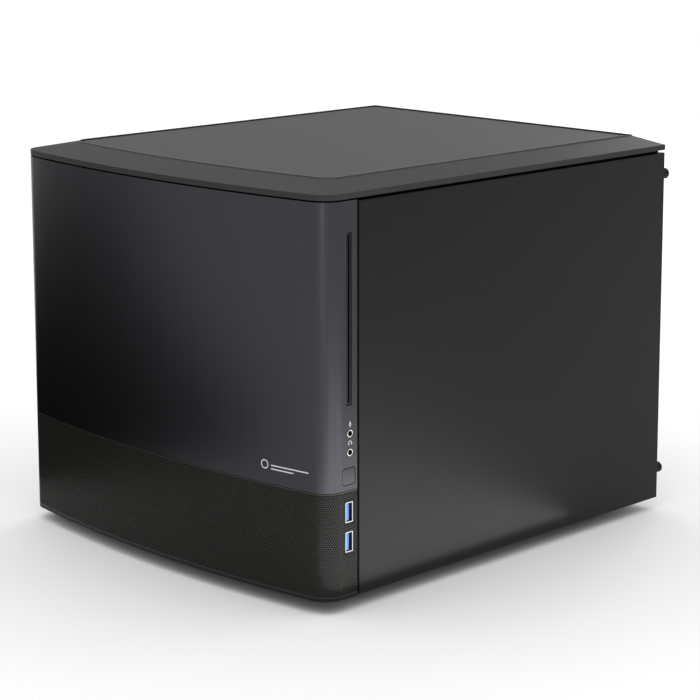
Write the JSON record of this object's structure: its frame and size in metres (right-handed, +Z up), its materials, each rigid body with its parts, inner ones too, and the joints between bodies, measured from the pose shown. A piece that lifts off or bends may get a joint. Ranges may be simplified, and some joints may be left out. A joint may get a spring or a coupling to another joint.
{
  "type": "desktop computer",
  "caption": "Cube-shaped desktop computer with a bowed front of brushed metal over a perforated band, ports on the front's side wing and a raised perforated top.",
  "frame": {"origin": "on the surface it stands on, under the middle of its outer box", "axes": "+Z up; -Y is the bowed front; +X is the side with the front ports"},
  "size_m": [0.344, 0.398, 0.307],
  "materials": {
    "black_steel": "fine powder coat, semi-matt",
    "brushed_black": "black anodised, vertical brushing",
    "black_mesh": "black painted perforated steel",
    "black_plastic": "fine moulded texture",
    "white_plastic": "moulded",
    "blue_plastic": "moulded",
    "green_board": "solder mask on glass-epoxy board",
    "black_board": "solder mask on glass-epoxy board",
    "zinc_steel": "zinc plated sheet",
    "nickel_shell": "nickel plated",
    "cast_grey": "cast and machined",
    "fin_aluminium": "rolled sheet",
    "copper_pipe": "nickel plated copper",
    "rubber_black": "moulded rubber",
    "screw_steel": "zinc plated",
    "filter_mesh": "woven filter mesh in a moulded frame"
  },
  "bodies": {
    "chassis": {"base_pan": "black_steel", "rear_panel": "black_steel", "front_plate": "black_steel", "top_plate": "black_steel", "motherboard_tray": "black_steel", "front_filters": "filter_mesh", "feet": "black_plastic", "foot_pads": "rubber_black", "fan_frames": "black_plastic", "fan_screws": "screw_steel", "psu_case": "black_steel", "psu_fan_guard": "nickel_shell", "psu_inlet": "black_plastic", "rocker_housing": "black_plastic", "psu_board": "green_board", "motherboard": "black_board", "standoffs": "copper_pipe", "board_ports": "nickel_shell", "io_shield": "zinc_steel", "processor_socket": "zinc_steel", "processor": "nickel_shell", "board_sockets": "black_plastic", "memory_modules": "green_board", "chipset_heatsink": "cast_grey", "cooler_base": "copper_pipe", "cooler_fins": "fin_aluminium", "slot_covers": "zinc_steel", "drive_cage": "black_steel", "hard_drives": "cast_grey", "drive_grommets": "rubber_black", "solid_state_drive": "cast_grey", "optical_drive": "zinc_steel", "optical_bracket": "zinc_steel", "case_screws": "screw_steel"},
    "front": {"front_bezel": "black_plastic", "brushed_face": "brushed_black", "front_grille": "black_mesh", "usb_surround": "black_plastic", "slot_trim": "black_plastic", "io_board": "green_board", "usb_shells": "nickel_shell", "usb_tongues": "blue_plastic", "audio_jacks": "black_plastic"},
    "power_button": {"power_button": "black_plastic"},
    "left_panel": {"left_side_panel": "black_steel"},
    "right_panel": {"right_side_panel": "black_steel"},
    "cover": {"top_cover": "black_plastic", "top_mesh": "black_mesh"},
    "psu_filter": {"psu_filter": "filter_mesh"},
    "psu_rocker": {"psu_rocker": "black_plastic"},
    "thumbscrew_lower_left": {"thumbscrew_lower_left": "black_steel"},
    "thumbscrew_upper_left": {"thumbscrew_upper_left": "black_steel"},
    "thumbscrew_lower_right": {"thumbscrew_lower_right": "black_steel"},
    "thumbscrew_upper_right": {"thumbscrew_upper_right": "black_steel"},
    "rotor_front_left": {"fan_rotor_front_left": "black_plastic"},
    "rotor_front_right": {"fan_rotor_front_right": "black_plastic"},
    "rotor_rear_left": {"fan_rotor_rear_left": "black_plastic"},
    "rotor_rear_right": {"fan_rotor_rear_right": "black_plastic"},
    "rotor_psu": {"fan_rotor_psu": "black_plastic"},
    "rotor_cooler": {"fan_rotor_cooler": "black_plastic"}
  },
  "joints": [
    {"name": "front_pull", "type": "slide", "parent": "chassis", "child": "front", "axis": [0, -1, 0], "range_m": [0, 0.06]},
    {"name": "power_button_press", "type": "slide", "parent": "front", "child": "power_button", "axis": [-1, 0, 0], "range_m": [0, 0.0012], "stiffness_N_per_m": 800},
    {"name": "left_panel_slide", "type": "slide", "parent": "chassis", "child": "left_panel", "axis": [0, 1, 0], "range_m": [0, 0.014]},
    {"name": "right_panel_slide", "type": "slide", "parent": "chassis", "child": "right_panel", "axis": [0, 1, 0], "range_m": [0, 0.014]},
    {"name": "cover_lift", "type": "slide", "parent": "chassis", "child": "cover", "axis": [0, 0, 1], "range_m": [0, 0.03]},
    {"name": "psu_filter_slide", "type": "slide", "parent": "chassis", "child": "psu_filter", "axis": [0, 1, 0], "range_m": [0, 0.16]},
    {"name": "psu_rocker_tilt", "type": "hinge", "parent": "chassis", "child": "psu_rocker", "pos_m": [0.1345, 0.187, 0.0682], "axis": [1, 0, 0], "range_deg": [-16, 0]},
    {"name": "thumbscrew_lower_left_turn", "type": "hinge", "parent": "left_panel", "child": "thumbscrew_lower_left", "pos_m": [-0.1655, 0.19, 0.033], "axis": [0, 1, 0], "continuous": true},
    {"name": "thumbscrew_upper_left_turn", "type": "hinge", "parent": "left_panel", "child": "thumbscrew_upper_left", "pos_m": [-0.1655, 0.19, 0.2765], "axis": [0, 1, 0], "continuous": true},
    {"name": "thumbscrew_lower_right_turn", "type": "hinge", "parent": "right_panel", "child": "thumbscrew_lower_right", "pos_m": [0.1655, 0.19, 0.033], "axis": [0, 1, 0], "continuous": true},
    {"name": "thumbscrew_upper_right_turn", "type": "hinge", "parent": "right_panel", "child": "thumbscrew_upper_right", "pos_m": [0.1655, 0.19, 0.2765], "axis": [0, 1, 0], "continuous": true},
    {"name": "rotor_front_left_spin", "type": "hinge", "parent": "chassis", "child": "rotor_front_left", "pos_m": [-0.0805, -0.1365, 0.2062], "axis": [0, 1, 0], "continuous": true},
    {"name": "rotor_front_right_spin", "type": "hinge", "parent": "chassis", "child": "rotor_front_right", "pos_m": [0.09, -0.1365, 0.0782], "axis": [0, 1, 0], "continuous": true},
    {"name": "rotor_rear_left_spin", "type": "hinge", "parent": "chassis", "child": "rotor_rear_left", "pos_m": [-0.104, 0.1755, 0.214], "axis": [0, 1, 0], "continuous": true},
    {"name": "rotor_rear_right_spin", "type": "hinge", "parent": "chassis", "child": "rotor_rear_right", "pos_m": [0.09, 0.1755, 0.204], "axis": [0, 1, 0], "continuous": true},
    {"name": "rotor_psu_spin", "type": "hinge", "parent": "chassis", "child": "rotor_psu", "pos_m": [0.0755, 0.109, 0.0287], "axis": [0, 0, 1], "continuous": true},
    {"name": "rotor_cooler_spin", "type": "hinge", "parent": "chassis", "child": "rotor_cooler", "pos_m": [-0.095, 0.0645, 0.205], "axis": [0, 1, 0], "continuous": true}
  ]
}
